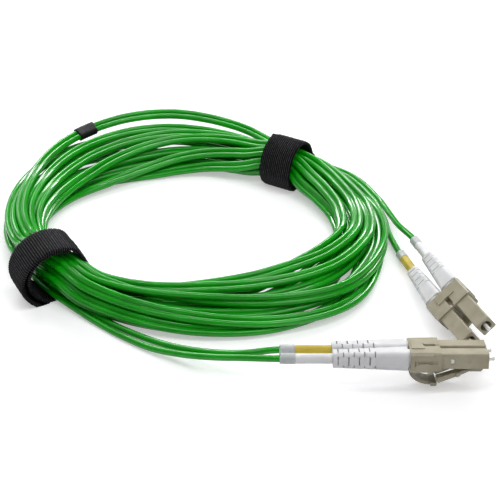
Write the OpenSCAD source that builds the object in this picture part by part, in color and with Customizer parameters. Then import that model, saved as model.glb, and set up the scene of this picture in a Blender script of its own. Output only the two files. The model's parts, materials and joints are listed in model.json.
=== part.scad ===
// Duplex LC to LC fibre optic patch cord, wound in a flat coil and held by two straps.
// Millimetres, +Z up. The origin is the middle of the coil, on the surface it lies on.
// Each plug is drawn in its own frame: +X out of the nose, Y across the pair, +Z to the latch.

/* [Cord] */
// Diameter of one jacket of the zipcord
jacket_d = 2.0; // [1.8:0.1:2.0]
// Distance between the two jackets' middles
jacket_pitch = 2.05; // [1.9:0.05:2.1]
// Height of the web between the jackets
web_h = 0.7; // [0.4:0.1:1.0]

/* [Coil] */
// Number of turns
turns = 11.5833; // [9.5833:1:12.5833]
// Mean radius of the coil
coil_r = 52.6; // [48:0.5:60]
// How far the coil is out of round
coil_oval = 2.8; // [0:0.1:4]
// Step from turn to turn at the straps
turn_step = 4.48; // [4.46:0.01:4.7]
// Extra step half way between the straps
turn_spread = 0.6; // [0:0.05:1.2]
// Step from layer to layer
layer_step = 2.44; // [2.42:0.01:2.7]
// How far the loose top turn stands out behind
loose_out = 6.5; // [0:0.5:7]
// How far the loose top turn stands up behind
loose_up = 2.8; // [0:0.1:3]

/* [Straps] */
// Width of a strap, along the cord
strap_w = 11; // [6:0.5:11]
// Thickness of a strap
strap_t = 1.2; // [0.8:0.1:1.4]
// Gap between a strap and the cord
strap_gap = 0.3; // [0.2:0.05:0.5]
// Length of a strap's loose tail
strap_tail = 7; // [3:0.5:9]
// Length of the marker sleeve
marker_l = 7.5; // [4:0.5:9]
// Wall of the marker sleeve
marker_wall = 0.5; // [0.3:0.05:0.8]

/* [Plug] */
// Distance between the two plugs of a pair
plug_pitch = 6.25; // [6.25:0.05:6.5]
// Side of the square plug housing
plug_w = 4.52; // [4.45:0.01:4.6]
// Length of the plug housing
plug_l = 18.5; // [17.5:0.1:19.5]
// Diameter of the ferrule
ferrule_d = 1.249; // [1.24:0.001:1.26]
// Length of the ferrule
ferrule_l = 6.5; // [6:0.1:7]
// How far the ferrule stands out of the housing
ferrule_out = 1.9; // [1.5:0.1:2.2]
// How far the ferrule slides back
ferrule_travel = 1; // [0.5:0.1:1.2]
// Diameter of the nose bore
nose_d = 3.3; // [3.1:0.05:3.4]
// Diameter of the housing's rear cavity
cavity_d = 3.7; // [3.6:0.02:3.8]
// Diameter of the spring's wire
spring_wire = 0.35; // [0.25:0.05:0.4]
// Width of the latch arm
latch_w = 3; // [2.4:0.1:3.4]
// Width of the latch across its ears
latch_ears_w = 4.3; // [3.6:0.1:4.5]

/* [Clip] */
// Wall of the clip beside a plug
clip_wall = 1.0; // [0.8:0.05:1.3]
// Length of the clip's rear block
clip_rear_l = 6.3; // [5.5:0.1:7]
// Length of the clip's front collars
clip_front_l = 2.2; // [1.5:0.1:3]
// Width of the trigger's lever
lever_w = 5.4; // [4:0.1:6]
// Width of the trigger's pad
pad_w = 7.5; // [7:0.1:8]
// Thickness of the lever
lever_t = 0.9; // [0.7:0.05:1.1]

/* [Boot] */
// Length of the boot behind the clip
boot_l = 20.5; // [17:0.5:24]
// Width of the boot at its root
boot_root_w = 5.9; // [5.2:0.1:6.1]
// Width of the boot at its tip
boot_tip_w = 4.0; // [3.4:0.1:5]
// Height of the boot at its root
boot_root_h = 5.6; // [5.2:0.1:6]
// Height of the boot at its tip
boot_tip_h = 4.6; // [3.4:0.1:5]
// Number of slots along the boot
boot_slots = 8; // [4:1:8]
// Distance from slot to slot
slot_step = 1.45; // [1.2:0.05:1.7]
// Width of a slot
slot_w = 0.35; // [0.2:0.05:0.5]
// Outside diameter of an identification sleeve
id_d = 2.9; // [2.7:0.1:3.2]
// Length of an identification sleeve
id_l = 10.3; // [8:0.1:12]
// Outside diameter of an end sleeve
end_d = 3.1; // [2.8:0.1:3.4]
// Length of an end sleeve
end_l = 4.3; // [3:0.1:6]

/* [Placing] */
// Nose of the front pair
front_pos = [84, -79.3, 9.0];
// Turn of the front pair
front_turn = [166, 0, 0];
// Bend of the front pair's boots
front_bend = 0; // [0:0.5:8]
// Nose of the rear pair
rear_pos = [83, -70, 9.4];
// Turn of the rear pair
rear_turn = [-139, -3, -72];
// Bend of the rear pair's boots
rear_bend = 6.5; // [0:0.5:7]

/* [Hidden] */
NODES = [
    "zipcord_coil", "strap_left", "strap_right", "marker_sleeve",
    "leg_a1", "leg_a2", "leg_b1", "leg_b2",
    "clip_a", "clip_b", "trigger_a", "trigger_b",
    "housing_a1", "housing_a2", "housing_b1", "housing_b2",
    "latch_a1", "latch_a2", "latch_b1", "latch_b2",
    "ferrule_a1", "ferrule_a2", "ferrule_b1", "ferrule_b2",
    "holder_a1", "holder_a2", "holder_b1", "holder_b2",
    "fibre_a1", "fibre_a2", "fibre_b1", "fibre_b2",
    "spring_a1", "spring_a2", "spring_b1", "spring_b2",
    "back_body_a1", "back_body_a2", "back_body_b1", "back_body_b2",
    "crimp_ring_a1", "crimp_ring_a2", "crimp_ring_b1", "crimp_ring_b2",
    "boot_a1", "boot_a2", "boot_b1", "boot_b2",
    "id_sleeve_a1", "id_sleeve_a2", "id_sleeve_b1", "id_sleeve_b2",
    "end_sleeve_a1", "end_sleeve_a2", "end_sleeve_b1", "end_sleeve_b2"
];
node = "all";
round_fn = 48;

// ---- Coil: one unbroken zipcord, wound in and out again in four layers ----
layers = 4;
climb = 0.5;
rings_per_turn = 24;
coil_start = -135;
layer_turns = (turns - (layers - 1) * climb) / layers;
pass_turns = layer_turns + climb;
strap_left_at = -142.5;
strap_right_at = 52.5;
strap_lift = strap_t + strap_gap;
lift_sharp = 8;
oval_at = 150;
spread_at = 45;
loose_from = 67.5;
loose_to = 157.5;
exit_run = 2 / rings_per_turn;
exit_out = 1.15;
exit_z = 2.2;
tiny = 0.000001;
cord_w = jacket_pitch + jacket_d;
cord_h = jacket_d * cos(30);
coil_rings = round(turns * rings_per_turn);

function smooth(x) = x * x * (3 - 2 * x);
function clamp(x) = min(1, max(0, x));
function turn_angle(t) = coil_start - 360 * t;
function pass_no(t) = min(layers - 1, floor(t / pass_turns + tiny));
function pass_at(t) = t - pass_no(t) * pass_turns;
function fold(t) = max(0, min(pass_at(t) - layer_turns, pass_turns - pass_at(t)));
// Column of the turn, from 0 inside to layer_turns outside
function column(t) =
    pass_no(t) % 2 == 0
        ? layer_turns - min(pass_at(t), layer_turns) - fold(t)
        : min(pass_at(t), layer_turns) + fold(t);
function layer(t) =
    pass_no(t) + (pass_no(t) < layers - 1 ? smooth(clamp((pass_at(t) - layer_turns) / climb)) : 0);
function strap_near(a, at) = pow(max(0, cos(a - at)), lift_sharp);
function lift(a) = strap_lift * max(strap_near(a, strap_left_at), strap_near(a, strap_right_at))
    / strap_near(360 / rings_per_turn / 2, 0);
function middle_r(a) = coil_r + coil_oval * cos(2 * (a - oval_at));
function step_at(a) = turn_step + turn_spread * pow(sin(a - spread_at), 2);
function exit_at(t) = clamp((t - turns + exit_run) / exit_run);
// The loose top turn, on the last pass behind the coil
function loose(t) =
    let (a = turn_angle(t) + 360 * ceil(turns))
    t > turns - 1 ? pow(sin(180 * clamp((a - loose_from) / (loose_to - loose_from))), 2) : 0;
function turn_r(t) =
    let (a = turn_angle(t))
    middle_r(a) + (column(t) - layer_turns / 2) * step_at(a) + loose_out * loose(t)
    + exit_out * step_at(a) * (exit_at(t) > 0 ? pow(exit_at(t), 0.45) : 0);
function turn_z(t) =
    let (z = cord_h / 2 + layer_step * layer(t) + lift(turn_angle(t)) + loose_up * loose(t))
    z + (exit_z - z) * pow(exit_at(t), 4);
function turn_point(t) =
    let (a = turn_angle(t), r = turn_r(t))
    [r * cos(a), r * sin(a), turn_z(t)];

// Points of the cord's middle: the turns, and a short straight run at each end
end_run = cord_w;
function unit(v) = v / norm(v);
turn_points = [for (i = [0 : coil_rings]) turn_point(i / rings_per_turn)];
function tangent_flat(a) = [sin(a), -cos(a), 0];
start_dir = -tangent_flat(coil_start);
exit_dir = tangent_flat(turn_angle(turns));
coil_path = concat(
    [turn_points[0] + end_run * start_dir],
    turn_points,
    [turn_points[coil_rings] + end_run * exit_dir]
);
// Direction across the cord at each point: radial, level
function across_at(i) =
    let (t = clamp((i - 1) / coil_rings) * turns, a = turn_angle(t))
    [cos(a), sin(a), 0];
across = [for (i = [0 : coil_rings + 2]) across_at(i)];

// Section of the zipcord: two six-sided jackets and the web between them
lobe = jacket_d / 2;
half_pitch = jacket_pitch / 2;
zip_section = concat(
    [for (a = [0, 60, 120]) [half_pitch + lobe * cos(a), lobe * sin(a)]],
    [[0, web_h / 2]],
    [for (a = [60, 120, 180, 240, 300]) [-half_pitch + lobe * cos(a), lobe * sin(a)]],
    [[0, -web_h / 2]],
    [for (a = [240, 300]) [half_pitch + lobe * cos(a), lobe * sin(a)]]
);
zip_caps = [[0, 1, 2, 3, 9, 10, 11], [3, 4, 5, 6, 7, 8, 9]];

// ---- Least gap between turns, jacket to jacket, on the points ----
function jacket_point(i, side) = coil_path[i] + side * half_pitch * across[i];
gaps = [
    for (i = [0 : coil_rings + 2])
        for (j = [i + rings_per_turn - 2 : coil_rings + 2])
            if (abs((j - i + 2) % rings_per_turn - 2) < 3)
                for (p = [-1, 1])
                    for (q = [-1, 1])
                        norm(jacket_point(i, p) - jacket_point(j, q)) - jacket_d
];
function path_length(p, i = 1) = i < len(p) ? norm(p[i] - p[i - 1]) + path_length(p, i + 1) : 0;
coil_length = path_length(coil_path);
echo(least_gap = min(gaps), coil_length = coil_length);

// ---- Sweeping a section along points ----
function fan(ids) = [for (i = [1 : len(ids) - 2]) [ids[0], ids[i], ids[i + 1]]];
function flip(faces) = [for (f = faces) [f[2], f[1], f[0]]];
function shift_faces(faces, by) = [for (f = faces) [for (k = f) k + by]];
function side_faces(rings, n) = [
    for (i = [0 : rings - 2])
        for (j = [0 : n - 1])
            let (a = i * n + j, b = i * n + (j + 1) % n)
            for (f = [[a, b, a + n], [b, b + n, a + n]]) f
];
module swept(points, caps, n) {
    rings = len(points) / n;
    ends = [for (c = caps) for (f = fan(c)) f];
    polyhedron(
        points = points,
        faces = concat(
            side_faces(rings, n),
            flip(ends),
            shift_faces(ends, (rings - 1) * n)
        )
    );
}

module zipcord_coil() {
    points = [
        for (i = [0 : len(coil_path) - 1])
            for (s = zip_section)
                coil_path[i] - s.x * across[i] + [0, 0, s.y]
    ];
    color([0.09, 0.55, 0.1]) swept(points, zip_caps, len(zip_section));
}

// ---- Straps and marker sleeve ----
// Half width of the bundle at a strap, and its height
bundle_half = (layer_turns / 2 + climb / 2) * turn_step + cord_w / 2;
bundle_h = (layers - 1) * layer_step + cord_h;
strap_in_half = bundle_half + strap_gap;
strap_in_h = bundle_h + 2 * strap_gap;
strap_corner = 1.3;
chord_in = cos(180 / rings_per_turn);

module strap_outline(out) {
    translate([0, strap_t + strap_in_h / 2])
        offset(r = strap_corner + out, $fn = 16)
            square([2 * strap_in_half - 2 * strap_corner, strap_in_h - 2 * strap_corner], center = true);
}

module strap_ring(from, to) {
    difference() {
        strap_outline(to);
        strap_outline(from);
    }
}

// A strap wound round the bundle and lapped over itself, with its tail standing off.
// lap is the stretch that is lapped, from the ring's middle; tail is [x, z, first angle, last angle].
module strap(at, lap, tail) {
    r = middle_r(at) * chord_in;
    reach = strap_in_half + 3 * strap_t;
    rotate([90, 0, at]) translate([r, 0, 0])
        linear_extrude(height = strap_w, center = true) {
            strap_ring(0, strap_t);
            intersection() {
                strap_ring(strap_t, 2 * strap_t);
                translate([0, strap_t + strap_in_h / 2]) polygon(lap * reach);
            }
            strap_free_end(tail);
        }
}

// The tail as a few short flats, each turned on from the last
module strap_free_end(tail) {
    flats = 4;
    for (i = [0 : flats - 1])
        translate([tail[0], tail[1]] + flat_sum(tail, i, strap_tail / flats))
            rotate(tail[2] + (tail[3] - tail[2]) * i / (flats - 1))
                translate([-0.1, -strap_t / 2]) square([strap_tail / flats + 0.2, strap_t]);
}

function flat_sum(tail, i, l) =
    i == 0 ? [0, 0]
    : let (a = tail[2] + (tail[3] - tail[2]) * (i - 1) / 3)
        flat_sum(tail, i - 1, l) + l * [cos(a), sin(a)];

strap_side_x = strap_in_half + 1.5 * strap_t;
strap_top_z = strap_t * 2.5 + strap_in_h;
// First and last direction of each tail
left_tail_turn = [-88, -25];
right_tail_turn = [0, 14];

module strap_left() {
    color([0.08, 0.08, 0.09])
        strap(
            strap_left_at,
            [[-0.5, 0], [-0.5, 2], [2, 2], [2, -0.1], [0, -0.1]],
            [strap_side_x, strap_top_z * 0.5, left_tail_turn[0], left_tail_turn[1]]
        );
}

module strap_right() {
    color([0.08, 0.08, 0.09])
        strap(
            strap_right_at,
            [[-2, -0.1], [-2, 2], [0.8, 2], [0.8, 0], [0, -0.1]],
            [strap_in_half * 0.6, strap_top_z, right_tail_turn[0], right_tail_turn[1]]
        );
}

// The marker sleeve sits half way along a straight run of the loose turn
marker_ring = coil_rings + 1 - 7.5;
marker_a = coil_path[floor(marker_ring)];
marker_b = coil_path[ceil(marker_ring)];
marker_gap = 0.15;

module marker_sleeve() {
    run = marker_b - marker_a;
    heading = atan2(run.y, run.x);
    pitch = atan2(run.z, norm([run.x, run.y]));
    color([0.05, 0.05, 0.06])
        translate((marker_a + marker_b) / 2)
            rotate([0, 0, heading]) rotate([0, 90 - pitch, 0])
                linear_extrude(height = marker_l, center = true)
                    difference() {
                        marker_outline(marker_gap + marker_wall);
                        marker_outline(marker_gap);
                    }
}

module marker_outline(out) {
    hull()
        for (side = [-1, 1])
            translate([0, side * half_pitch])
                circle(r = lobe + out, $fn = 12);
}

// ---- Placing the pairs ----
function turn_matrix(a) =
    [[cos(a.z), -sin(a.z), 0], [sin(a.z), cos(a.z), 0], [0, 0, 1]]
    * [[cos(a.y), 0, sin(a.y)], [0, 1, 0], [-sin(a.y), 0, cos(a.y)]]
    * [[1, 0, 0], [0, cos(a.x), -sin(a.x)], [0, sin(a.x), cos(a.x)]];
// The way that the boots give to the cord's pull: outwards and down
bend_to = [1, 0, -0.7];
// That way in a pair's own frame, square to its axis
function bend_in(a) =
    let (v = bend_to * turn_matrix(a))
    unit([0, v.y, v.z]);
// The turning axis of a bent boot, and the way its cord leaves
function bend_axis(a) = cross([-1, 0, 0], bend_in(a));
function bend_dir(a, bend) = [-cos(bend), 0, 0] + sin(bend) * bend_in(a);

module front_pair() {
    translate(front_pos) rotate(front_turn) children();
}

module rear_pair() {
    translate(rear_pos) rotate(rear_turn) children();
}

module side(n) {
    translate([0, n * plug_pitch / 2, 0]) children();
}

// ---- Along the plug, from the nose back ----
flange_x = -5.6;
collar_l = 0.6;
back_x = -9.0;
seat_x = -12.6;
back_end_x = 2.3 - plug_l;
tail_end_x = back_end_x - 5.6;
crimp_l = 4.3;
crimp_x = -plug_l - 0.2;
clip_x = 5.5 - plug_l;
clip_rear_x = clip_x - clip_front_l;
clip_end_x = clip_rear_x - clip_rear_l;
boot_x = clip_end_x - 0.7;
leg_x = boot_x - 1.6;
slack = 0.06;
bore_r = jacket_d / 2 + 0.1;
// Past the end of anything on a plug, for cuts that go right through
far = 30;

// Rod or tube along X, from x0 forwards to x1
module rod(x0, x1, r, fn = round_fn) {
    translate([x0, 0, 0]) rotate([0, 90, 0]) cylinder(h = x1 - x0, r = r, $fn = fn);
}

module tube(x0, x1, r_out, r_in) {
    difference() {
        rod(x0, x1, r_out);
        rod(x0 - 1, x1 + 1, r_in);
    }
}

module box(x0, x1, y0, y1, z0, z1) {
    translate([x0, y0, z0]) cube([x1 - x0, y1 - y0, z1 - z0]);
}

// Flat plate in the X-Z plane, of width w along Y
module plate(w, points) {
    rotate([90, 0, 0]) linear_extrude(height = w, center = true) polygon(points);
}

function chamfered(w, h, c) = [
    [w / 2, h / 2 - c], [w / 2 - c, h / 2], [-w / 2 + c, h / 2], [-w / 2, h / 2 - c],
    [-w / 2, -h / 2 + c], [-w / 2 + c, -h / 2], [w / 2 - c, -h / 2], [w / 2, -h / 2 + c]
];

module bar(x0, x1, w, h, c) {
    translate([x0, 0, 0]) rotate([90, 0, 90])
        linear_extrude(height = x1 - x0) polygon(chamfered(w, h, c));
}

// ---- Latch and its root ----
top_z = plug_w / 2;
root_x0 = -5.2;
root_x1 = -1.5;
root_h = 0.95;
hinge_x = -4.8;
hinge_z = top_z + 0.62;
hinge_r = 0.38;
latch_tip_x = clip_x - 1.1;
latch_tip_z = 6.75;
window_x0 = -10.5;
window_x1 = -9.35;
window_h = 1.5;
mark_x = -5.4;
mark_d = 1.2;

module housing() {
    color([0.66, 0.64, 0.57])
        difference() {
            union() {
                bar(-plug_l, 0, plug_w, plug_w, 0.22);
                plate(latch_w, [
                    [root_x0, top_z - 0.1], [root_x0, top_z + root_h], [root_x1 - 0.5, top_z + root_h],
                    [root_x1, top_z + root_h - 0.5], [root_x1, top_z - 0.1]
                ]);
            }
            rod(-3.2, 1, nose_d / 2);
            rod(flange_x - 1, 0, ferrule_d / 2 + 0.75);
            rod(-plug_l - 1, flange_x, cavity_d / 2);
            box(window_x0, window_x1, -plug_w, plug_w, -window_h / 2, window_h / 2);
            translate([hinge_x, 0, hinge_z]) rotate([90, 0, 0])
                cylinder(h = plug_w, r = hinge_r + slack, center = true, $fn = round_fn);
            box(root_x0 - 1, hinge_x, -plug_w, plug_w, hinge_z - hinge_r - slack, far);
            for (s = [-1, 1])
                translate([mark_x, s * plug_w / 2, 0]) rotate([90, 0, 0])
                    cylinder(h = 0.3, d = mark_d, center = true, $fn = 24);
        }
}

// The arm springs on its root: a barrel there, ears half way, a thick tip under the pad
module latch() {
    color([0.66, 0.64, 0.57]) {
        translate([hinge_x, 0, hinge_z]) rotate([90, 0, 0])
            cylinder(h = latch_w, r = hinge_r, center = true, $fn = round_fn);
        difference() {
            union() {
                plate(latch_w - 0.4, [
                    [hinge_x - 0.1, hinge_z - 0.25], [hinge_x - 0.1, hinge_z + 0.25],
                    [-8, 4.55], [latch_tip_x + 0.6, latch_tip_z], [latch_tip_x, latch_tip_z - 0.5],
                    [latch_tip_x, 5.3], [-8, 3.35]
                ]);
                plate(latch_ears_w, [[-7.7, 3.35], [-7.7, 4.3], [-8.8, 4.7], [-8.8, 3.7]]);
            }
            box(latch_tip_x + 1.2, latch_tip_x + 4.5, -0.45, 0.45, 0, far);
        }
    }
}

// ---- Ferrule, its holder, the fibre's buffer and the spring ----
holder_x1 = -3.3;
holder_r = ferrule_d / 2 + 0.6;
collar_r = cavity_d / 2 - 0.15;
fibre_r = 0.45;
holder_bore_r = fibre_r + 0.02;

// Ground to size where it is free, and down to the holder's bore where it is held
module ferrule() {
    tip = 0.25;
    free_x = holder_x1 + 0.3;
    color([0.93, 0.93, 0.9])
        difference() {
            union() {
                rod(ferrule_out - ferrule_l, free_x + 0.01, holder_bore_r - 0.005);
                rod(free_x, ferrule_out - tip, ferrule_d / 2);
                translate([ferrule_out - tip, 0, 0]) rotate([0, 90, 0])
                    cylinder(h = tip, r1 = ferrule_d / 2, r2 = ferrule_d / 2 - 0.18, $fn = round_fn);
            }
            rod(ferrule_out - ferrule_l - 1, ferrule_out + 1, 0.0625, 16);
        }
}

module holder() {
    color([0.78, 0.76, 0.7])
        difference() {
            union() {
                rod(flange_x - collar_l, holder_x1, holder_r);
                rod(flange_x - collar_l, flange_x - 0.02, collar_r);
                rod(flange_x - collar_l - 3, flange_x, 0.85);
            }
            rod(-far, 0, holder_bore_r);
        }
}

fibre_end_x = leg_x + ferrule_travel + 0.25;

module fibre() {
    color([0.85, 0.85, 0.82]) rod(fibre_end_x, ferrule_out - ferrule_l - 0.02, fibre_r, 24);
}

spring_r = 1.3;
spring_curls = 6;
spring_x1 = flange_x - collar_l - 0.02;
spring_x0 = seat_x + 0.02;
curl_rings = 8;

function curl_point(k) =
    let (f = k / (spring_curls * curl_rings), a = 360 * k / curl_rings, w = spring_wire / 2)
    [spring_x0 + w + (spring_x1 - spring_x0 - 2 * w) * f, spring_r * cos(a), spring_r * sin(a)];

module spring() {
    n = 6;
    points = [
        for (k = [0 : spring_curls * curl_rings])
            let (p = curl_point(k), out = unit([0, p.y, p.z]))
            for (j = [0 : n - 1])
                p + spring_wire / 2 * (cos(360 * j / n) * out + [sin(360 * j / n), 0, 0])
    ];
    color([0.75, 0.76, 0.78]) swept(points, [[for (j = [0 : n - 1]) j]], n);
}

// ---- Back body and crimp ring ----
module back_body() {
    knurls = 5;
    color([0.7, 0.71, 0.73])
        difference() {
            union() {
                rod(back_end_x, back_x, cavity_d / 2 - 0.04);
                rod(tail_end_x, back_end_x + 0.1, 1.2);
                for (i = [0 : knurls - 1])
                    rod(tail_end_x + 0.2 + i * 0.9, tail_end_x + 0.6 + i * 0.9, 1.3);
                box(window_x0 + 0.1, window_x1 - 0.1, -top_z + 0.15, top_z - 0.15, -0.6, 0.6);
            }
            rod(seat_x, 0, spring_r + spring_wire / 2 + 0.15);
            rod(-far, 0, 0.95);
        }
}

module crimp_ring() {
    color([0.8, 0.8, 0.82]) tube(crimp_x - crimp_l, crimp_x, 1.7, 1.34);
}

// ---- Duplex clip and trigger ----
clip_half = plug_pitch / 2 + plug_w / 2 + clip_wall;
clip_low = -top_z - 0.5;
clip_high = top_z + 0.85;
pivot_x = clip_end_x + 0.9;
pivot_z = clip_high + 0.35;
pivot_r = 0.55;
lever_rise = 4.45;
lever_reach = 6.3;
lever_mid_x = clip_end_x + lever_reach - 0.2;
pad_x = clip_x - 0.9;
pad_z = pivot_z + lever_rise;

module clip_hole(fn) {
    for (s = [-1, 1]) side(s) {
        bar(-plug_l - 0.1, 0, plug_w + 2 * slack, plug_w + 2 * slack, 0.2);
        rod(clip_end_x - 1, -plug_l, boot_neck_r + 0.1, fn);
    }
}

module clip() {
    block_w = 2 * clip_half;
    groove_x = clip_end_x + 1.1;
    color([0.62, 0.6, 0.52])
        difference() {
            union() {
                translate([0, 0, (clip_high + clip_low) / 2])
                    bar(clip_end_x, clip_rear_x, block_w, clip_high - clip_low, 0.7);
                for (s = [-1, 1]) side(s)
                    bar(clip_rear_x - 0.1, clip_x, plug_w + 1.5, plug_w + 1.0, 0.4);
                bar_cover();
                box(clip_end_x, clip_end_x + 1.9, -lever_w / 2 - 0.8, lever_w / 2 + 0.8,
                    clip_high - 0.1, pivot_z + 0.3);
            }
            clip_hole(round_fn);
            // Finger groove and its rib along each side
            for (s = [-1, 1]) {
                translate([0, s * clip_half, 0])
                    box(groove_x + 0.8, clip_rear_x + 1, -0.4, 0.4, -0.45, 0.45);
                translate([0, s * clip_half, 0])
                    box(groove_x, groove_x + 0.35, -0.4, 0.4, -0.45, 1.1);
            }
            // Recess between the plugs, open to the front
            box(clip_rear_x - 2.4, clip_rear_x + 1, -0.75, 0.75, -far, -top_z + 0.9);
            box(clip_rear_x - 3.6, clip_rear_x + 1, -0.75, 0.75, top_z - 0.6, far);
            // Seat of the trigger's barrel, and room for its lever
            translate([pivot_x, 0, pivot_z]) rotate([90, 0, 0])
                cylinder(h = lever_w + 2 * slack, r = pivot_r + slack, center = true, $fn = round_fn);
            box(pivot_x - 3, pivot_x + 3, -lever_w / 2 - slack, lever_w / 2 + slack, pivot_z, far);
            box(pivot_x, pivot_x + 3, -lever_w / 2 - slack, lever_w / 2 + slack, clip_high, far);
        }
}

// Raised middle panel under the clip
module bar_cover() {
    box(clip_end_x + 0.5, clip_rear_x - 2.2, -3.0, 3.0, clip_low - 0.25, clip_low + 0.1);
}

function arc_points(cx, cz, rx, rz, a0, a1, n) = [
    for (i = [0 : n])
        let (a = a0 + (a1 - a0) * i / n)
        [cx + rx * cos(a), cz + rz * sin(a)]
];

module trigger() {
    inner_rx = lever_reach - lever_t;
    inner_rz = lever_rise - lever_t;
    color([0.62, 0.6, 0.52]) {
        difference() {
            union() {
                translate([pivot_x, 0, pivot_z]) rotate([90, 0, 0])
                    cylinder(h = lever_w, r = pivot_r, center = true, $fn = round_fn);
                plate(lever_w, concat(
                    arc_points(lever_mid_x, pivot_z, lever_reach, lever_rise, 178, 90, 10),
                    [[pad_x, pad_z], [pad_x, pad_z - lever_t]],
                    arc_points(lever_mid_x, pivot_z, inner_rx, inner_rz, 90, 178, 10)
                ));
                plate(pad_w, [
                    [pad_x - 1.7, pad_z + 0.05], [pad_x - 0.2, pad_z + 0.05], [pad_x, pad_z - 0.2],
                    [pad_x, pad_z - lever_t], [pad_x - 1.7, pad_z - lever_t]
                ]);
            }
            box(pivot_x - 3, pivot_x + 3, -far, far, 0, pivot_z - pivot_r);
        }
    }
}

// ---- Boot and sleeves ----
boot_neck_r = 2.6;
boot_seat_r = 1.85;
slot_first = 1.2;

module boot_section(x, w, h) {
    corner = 1.2;
    translate([x, 0, 0]) rotate([90, 0, 90])
        linear_extrude(height = 0.01)
            hull()
                for (sy = [-1, 1])
                    for (sz = [-1, 1])
                        translate([sy * (w / 2 - corner), sz * (h / 2 - corner)])
                            circle(r = corner, $fn = 16);
}

module boot_slot(x, corners) {
    core = bore_r + 0.45;
    difference() {
        if (corners) {
            difference() {
                box(x, x + slot_w, -5, 5, -5, 5);
                box(x - 1, x + 1, -5, 5, -1.2, 1.2);
                box(x - 1, x + 1, -1.2, 1.2, -5, 5);
            }
        } else {
            box(x, x + slot_w, -5, 5, -1.3, 1.3);
            box(x, x + slot_w, -1.3, 1.3, -5, 5);
        }
        rod(x - 1, x + 1, core, 24);
    }
}

module boot_body() {
    difference() {
        hull() {
            boot_section(0, boot_root_w, boot_root_h);
            boot_section(-boot_l, boot_tip_w, boot_tip_h);
        }
        for (i = [0 : boot_slots - 1])
            boot_slot(-boot_l + slot_first + i * slot_step, i % 2 == 1);
    }
}

module boot(turn, bend) {
    color([0.87, 0.87, 0.87])
        difference() {
            union() {
                rod(boot_x - 0.4, -plug_l - 0.12, boot_neck_r);
                bent(turn, bend) boot_body();
            }
            rod(boot_x - 1.4, 0, boot_seat_r);
            bent(turn, bend) rod(-boot_l - 1, 0, bore_r);
        }
}

module bent(turn, bend) {
    translate([boot_x, 0, 0]) rotate(a = bend, v = bend_axis(turn)) children();
}

module id_sleeve(turn, bend, tint) {
    color(tint) bent(turn, bend)
        tube(-boot_l - id_l, -boot_l - 0.05, id_d / 2, bore_r + 0.02);
}

module end_sleeve(turn, bend) {
    x1 = -boot_l - id_l - 0.05;
    color([0.75, 0.76, 0.77]) bent(turn, bend)
        difference() {
            tube(x1 - end_l, x1, end_d / 2, bore_r + 0.02);
            translate([x1 - end_l - 1.2, 0, 0]) rotate([0, -24, 0]) cube([1.6, 4, 8], center = true);
        }
}

yellow = [0.8, 0.66, 0.15];
white = [0.9, 0.9, 0.9];

// ---- Legs: single jackets, from the end of the zipcord to the boots ----
leg_sides = 8;
leg_inside = boot_l + id_l + end_l + 1.5;
// The free points of each leg, by hand, from the coil's end to the sleeves
route_a1 = [[-32.6, -47.4, 1.6], [-26.6, -52.8, 1.1], [-19.5, -59, 1.1], [-10.4, -65.8, 1.5],
    [-1.4, -71.4, 3], [8, -76.2, 5.2], [16.5, -79.8, 7.6]];
route_a2 = [[-31.2, -45.9, 1.6], [-25.2, -50.9, 1.1], [-18, -56.6, 1.1], [-9, -62.8, 1.5],
    [-0.6, -67.8, 3], [8.4, -72.2, 5], [16.5, -75.5, 7.2]];
route_b1 = [[65.2, 7, 2.6], [66.8, -0.5, 3.6], [68.3, -6, 4.7]];
route_b2 = [[62.9, 6.5, 1.6], [63.6, -1, 1.3], [64.6, -7.5, 1.5]];

function leg_seat(pos, turn, bend, n, s) =
    pos + turn_matrix(turn) * ([boot_x, n * plug_pitch / 2, 0] + s * bend_dir(turn, bend));
function leg_straight(pos, turn, bend, n) = [
    for (i = [5 : -1 : 0])
        leg_seat(pos, turn, bend, n, 1.6 + (leg_inside - 1.6) * i / 5)
];
function leg_path(first, side, route, straight) =
    let (
        i = first ? 0 : len(coil_path) - 1,
        dir = first ? start_dir : exit_dir,
        p = coil_path[i] + side * half_pitch * across[i]
    )
    concat([p, p + jacket_d * dir], route, straight);
function spline(p, i, f) =
    let (
        a = p[max(0, i - 1)], b = p[i], c = p[i + 1], d = p[min(len(p) - 1, i + 2)]
    )
    0.5 * (2 * b + (c - a) * f + (2 * a - 5 * b + 4 * c - d) * f * f + (3 * b - a - 3 * c + d) * f * f * f);
// Two rings on each curved stretch, one on each straight one
function smooth_path(p, ends) = [
    for (i = [0 : len(p) - 2])
        for (f = i == 0 || i > len(p) - 2 - ends ? [0] : [0, 0.5])
            spline(p, i, f)
];
function ring_frame(p, i) =
    let (
        t = unit(p[min(i + 1, len(p) - 1)] - p[max(i - 1, 0)]),
        s = unit(cross(t, [0, 0, 1]))
    )
    [s, cross(s, t)];

module leg(path) {
    line = concat(smooth_path(path, 5), [path[len(path) - 1]]);
    points = [
        for (i = [0 : len(line) - 1])
            let (f = ring_frame(line, i))
            for (j = [0 : leg_sides - 1])
                let (a = 360 * (j + 0.5) / leg_sides)
                line[i] + lobe * (cos(a) * f[0] + sin(a) * f[1])
    ];
    color([0.09, 0.55, 0.1]) swept(points, [[for (j = [0 : leg_sides - 1]) j]], leg_sides);
}

path_a1 = leg_path(true, 1, route_a1, leg_straight(front_pos, front_turn, front_bend, 1));
path_a2 = leg_path(true, -1, route_a2, leg_straight(front_pos, front_turn, front_bend, -1));
path_b1 = leg_path(false, 1, route_b1, leg_straight(rear_pos, rear_turn, rear_bend, -1));
path_b2 = leg_path(false, -1, route_b2, leg_straight(rear_pos, rear_turn, rear_bend, 1));
echo(leg_lengths = [for (p = [path_a1, path_a2, path_b1, path_b2]) path_length(smooth_path(p, 5))]);

// ---- Drawing the nodes ----
function is_node(name) = node == "all" || node == name;

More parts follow.
